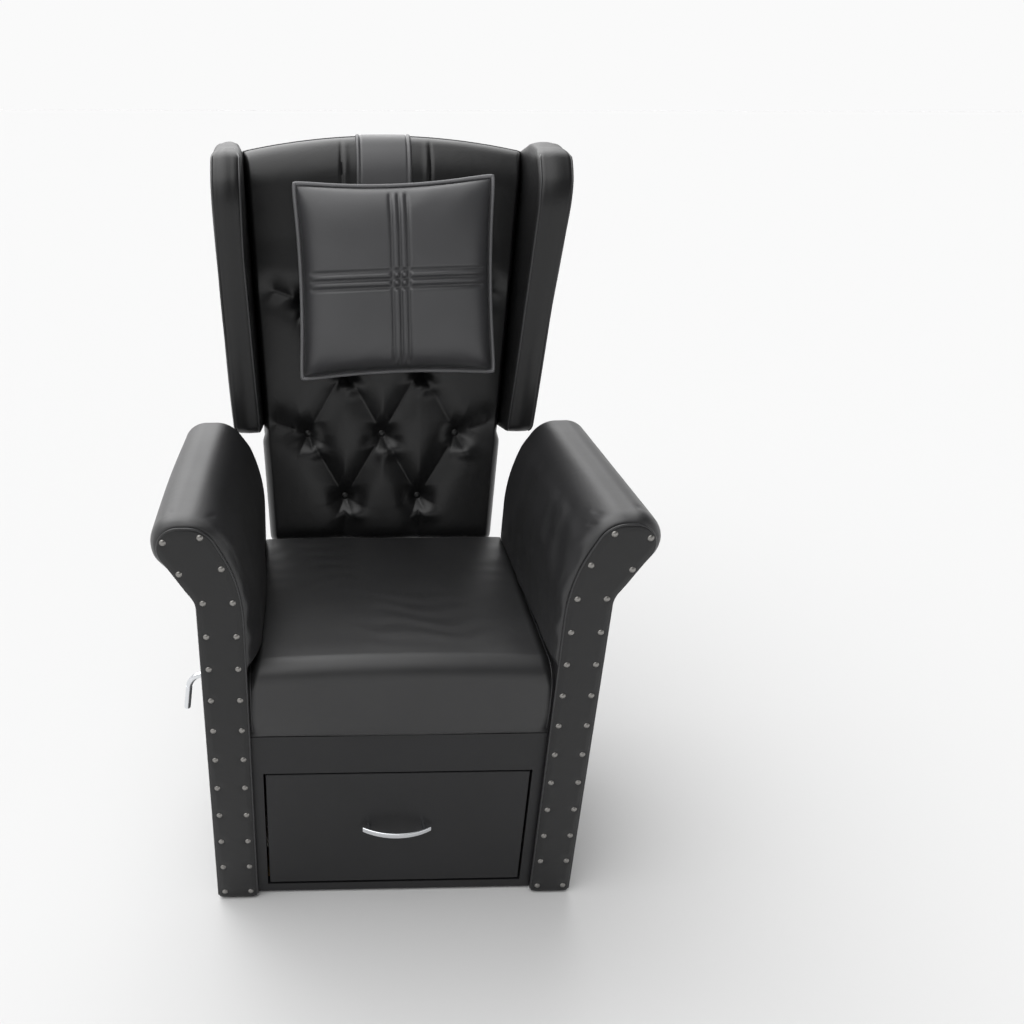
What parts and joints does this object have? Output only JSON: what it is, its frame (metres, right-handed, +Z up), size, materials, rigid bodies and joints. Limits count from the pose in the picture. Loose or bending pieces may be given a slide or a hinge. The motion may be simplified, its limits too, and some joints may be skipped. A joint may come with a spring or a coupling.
{
  "type": "reclining pedicure chair",
  "caption": "Leather wing-back chair with scroll arms, reclining tufted backrest on a gas spring, side lever, strap-hung head pillow and a foot drawer on roller runners.",
  "frame": {"origin": "on the floor under the middle of the chair's box at rest", "axes": "+Z up, the sitter faces -Y, +X to the right of someone who looks at the chair's front"},
  "size_m": [0.7645, 0.8002, 1.245],
  "materials": {
    "black_leather": "black semi-aniline leather, satin, fine pebble grain",
    "grey_leather": "charcoal leather, satin, worn to a light sheen on the arm rolls, seat and pillow",
    "board": "raw birch plywood and softwood battens, unseen inside the upholstery",
    "zinc_steel": "bright zinc-plated steel brackets, bolts and recline linkage",
    "runner_enamel": "folded steel runners in off-white enamel",
    "chrome": "polished chrome handle, lever, rod and lever plate",
    "nylon": "off-white nylon rollers and floor glides",
    "pewter_nails": "domed upholstery nails in antique pewter"
  },
  "bodies": {
    "chair_base": {"side_frame_left": "board", "side_frame_right": "board", "arm_pad_left": "grey_leather", "arm_pad_right": "grey_leather", "arm_facing_left": "black_leather", "arm_facing_right": "black_leather", "facing_nails_left": "pewter_nails", "facing_nails_right": "pewter_nails", "cabinet_side_left": "board", "cabinet_side_right": "board", "cabinet_bottom": "board", "front_frame": "black_leather", "rear_panel": "black_leather", "seat_front_rail": "board", "seat_deck": "board", "seat_cushion": "grey_leather", "floor_glides": "nylon", "frame_bolts": "zinc_steel", "runner_channel_left": "runner_enamel", "runner_channel_right": "runner_enamel", "hinge_bracket_left": "zinc_steel", "hinge_bracket_right": "zinc_steel", "hinge_bracket_bolts": "zinc_steel", "pivot_bolts": "zinc_steel", "gas_bracket": "zinc_steel", "gas_bracket_screws": "zinc_steel", "lever_escutcheon": "chrome"},
    "front_roller_left": {"front_roller_left": "nylon"},
    "front_roller_right": {"front_roller_right": "nylon"},
    "drawer": {"drawer_front": "black_leather", "drawer_side_left": "board", "drawer_side_right": "board", "drawer_back": "board", "drawer_inner_front": "board", "drawer_bottom": "board", "drawer_handle": "chrome", "handle_screws": "zinc_steel", "runner_rail_left": "runner_enamel", "runner_rail_right": "runner_enamel"},
    "rear_roller_left": {"rear_roller_left": "nylon"},
    "rear_roller_right": {"rear_roller_right": "nylon"},
    "lever": {"lever_rod": "chrome", "release_cam": "zinc_steel"},
    "backrest": {"back_frame": "board", "back_cushion": "black_leather", "back_buttons": "black_leather", "wing_left": "black_leather", "wing_right": "black_leather", "back_rear_panel": "black_leather", "recline_arm_left": "zinc_steel", "recline_arm_right": "zinc_steel", "crank_tube": "zinc_steel", "crank_pin": "zinc_steel", "recline_arm_bolts": "zinc_steel", "pillow_strap": "grey_leather"},
    "gas_cylinder": {"gas_cylinder": "zinc_steel"},
    "gas_rod": {"gas_rod": "chrome", "release_head": "zinc_steel"},
    "release_pin": {"release_pin": "chrome"},
    "head_pillow": {"head_pillow": "grey_leather"}
  },
  "joints": [
    {"name": "recline", "type": "hinge", "parent": "chair_base", "child": "backrest", "pos_m": [0, 0.13717, 0.395], "axis": [-1, 0, 0], "range_deg": [0, 35]},
    {"name": "gas_swing", "type": "hinge", "parent": "backrest", "child": "gas_cylinder", "pos_m": [0, 0.15581, 0.33587], "axis": [1, 0, 0], "range_deg": [0, 35.1]},
    {"name": "gas_stroke", "type": "slide", "parent": "gas_cylinder", "child": "gas_rod", "axis": [0, 1, 0], "range_m": [0, 0.0375]},
    {"name": "lever_turn", "type": "hinge", "parent": "chair_base", "child": "lever", "pos_m": [0, -0.18283, 0.34643], "axis": [1, 0, 0], "range_deg": [0, 14], "stiffness_Nm_per_rad": 1.2, "springref_deg": -14.32},
    {"name": "pin_press", "type": "slide", "parent": "gas_rod", "child": "release_pin", "axis": [0, 1, 0], "range_m": [0, 0.0027]},
    {"name": "drawer_slide", "type": "slide", "parent": "chair_base", "child": "drawer", "axis": [0, -1, 0], "range_m": [0, 0.3]},
    {"name": "front_roller_left_turn", "type": "hinge", "parent": "chair_base", "child": "front_roller_left", "pos_m": [-0.2247, -0.33583, 0.0905], "axis": [1, 0, 0], "range_deg": [0, 1565]},
    {"name": "front_roller_right_turn", "type": "hinge", "parent": "chair_base", "child": "front_roller_right", "pos_m": [0.2247, -0.33583, 0.0905], "axis": [1, 0, 0], "range_deg": [0, 1565]},
    {"name": "rear_roller_left_turn", "type": "hinge", "parent": "drawer", "child": "rear_roller_left", "pos_m": [-0.2247, 0.01317, 0.0905], "axis": [1, 0, 0], "range_deg": [0, 1565]},
    {"name": "rear_roller_right_turn", "type": "hinge", "parent": "drawer", "child": "rear_roller_right", "pos_m": [0.2247, 0.01317, 0.0905], "axis": [1, 0, 0], "range_deg": [0, 1565]},
    {"name": "pillow_slide", "type": "slide", "parent": "backrest", "child": "head_pillow", "axis": [0, 0.2079, 0.9781], "range_m": [-0.04, 0.03]}
  ],
  "couplings": [
    {"joint": "gas_swing", "follows": "recline", "ratio": 1},
    {"joint": "gas_stroke", "follows": "recline", "m_per_rad": 0.06104},
    {"joint": "pin_press", "follows": "lever_turn", "m_per_rad": 0.0106},
    {"joint": "front_roller_left_turn", "follows": "drawer_slide", "rad_per_m": 90.909},
    {"joint": "front_roller_right_turn", "follows": "drawer_slide", "rad_per_m": 90.909},
    {"joint": "rear_roller_left_turn", "follows": "drawer_slide", "rad_per_m": 90.909},
    {"joint": "rear_roller_right_turn", "follows": "drawer_slide", "rad_per_m": 90.909}
  ]
}
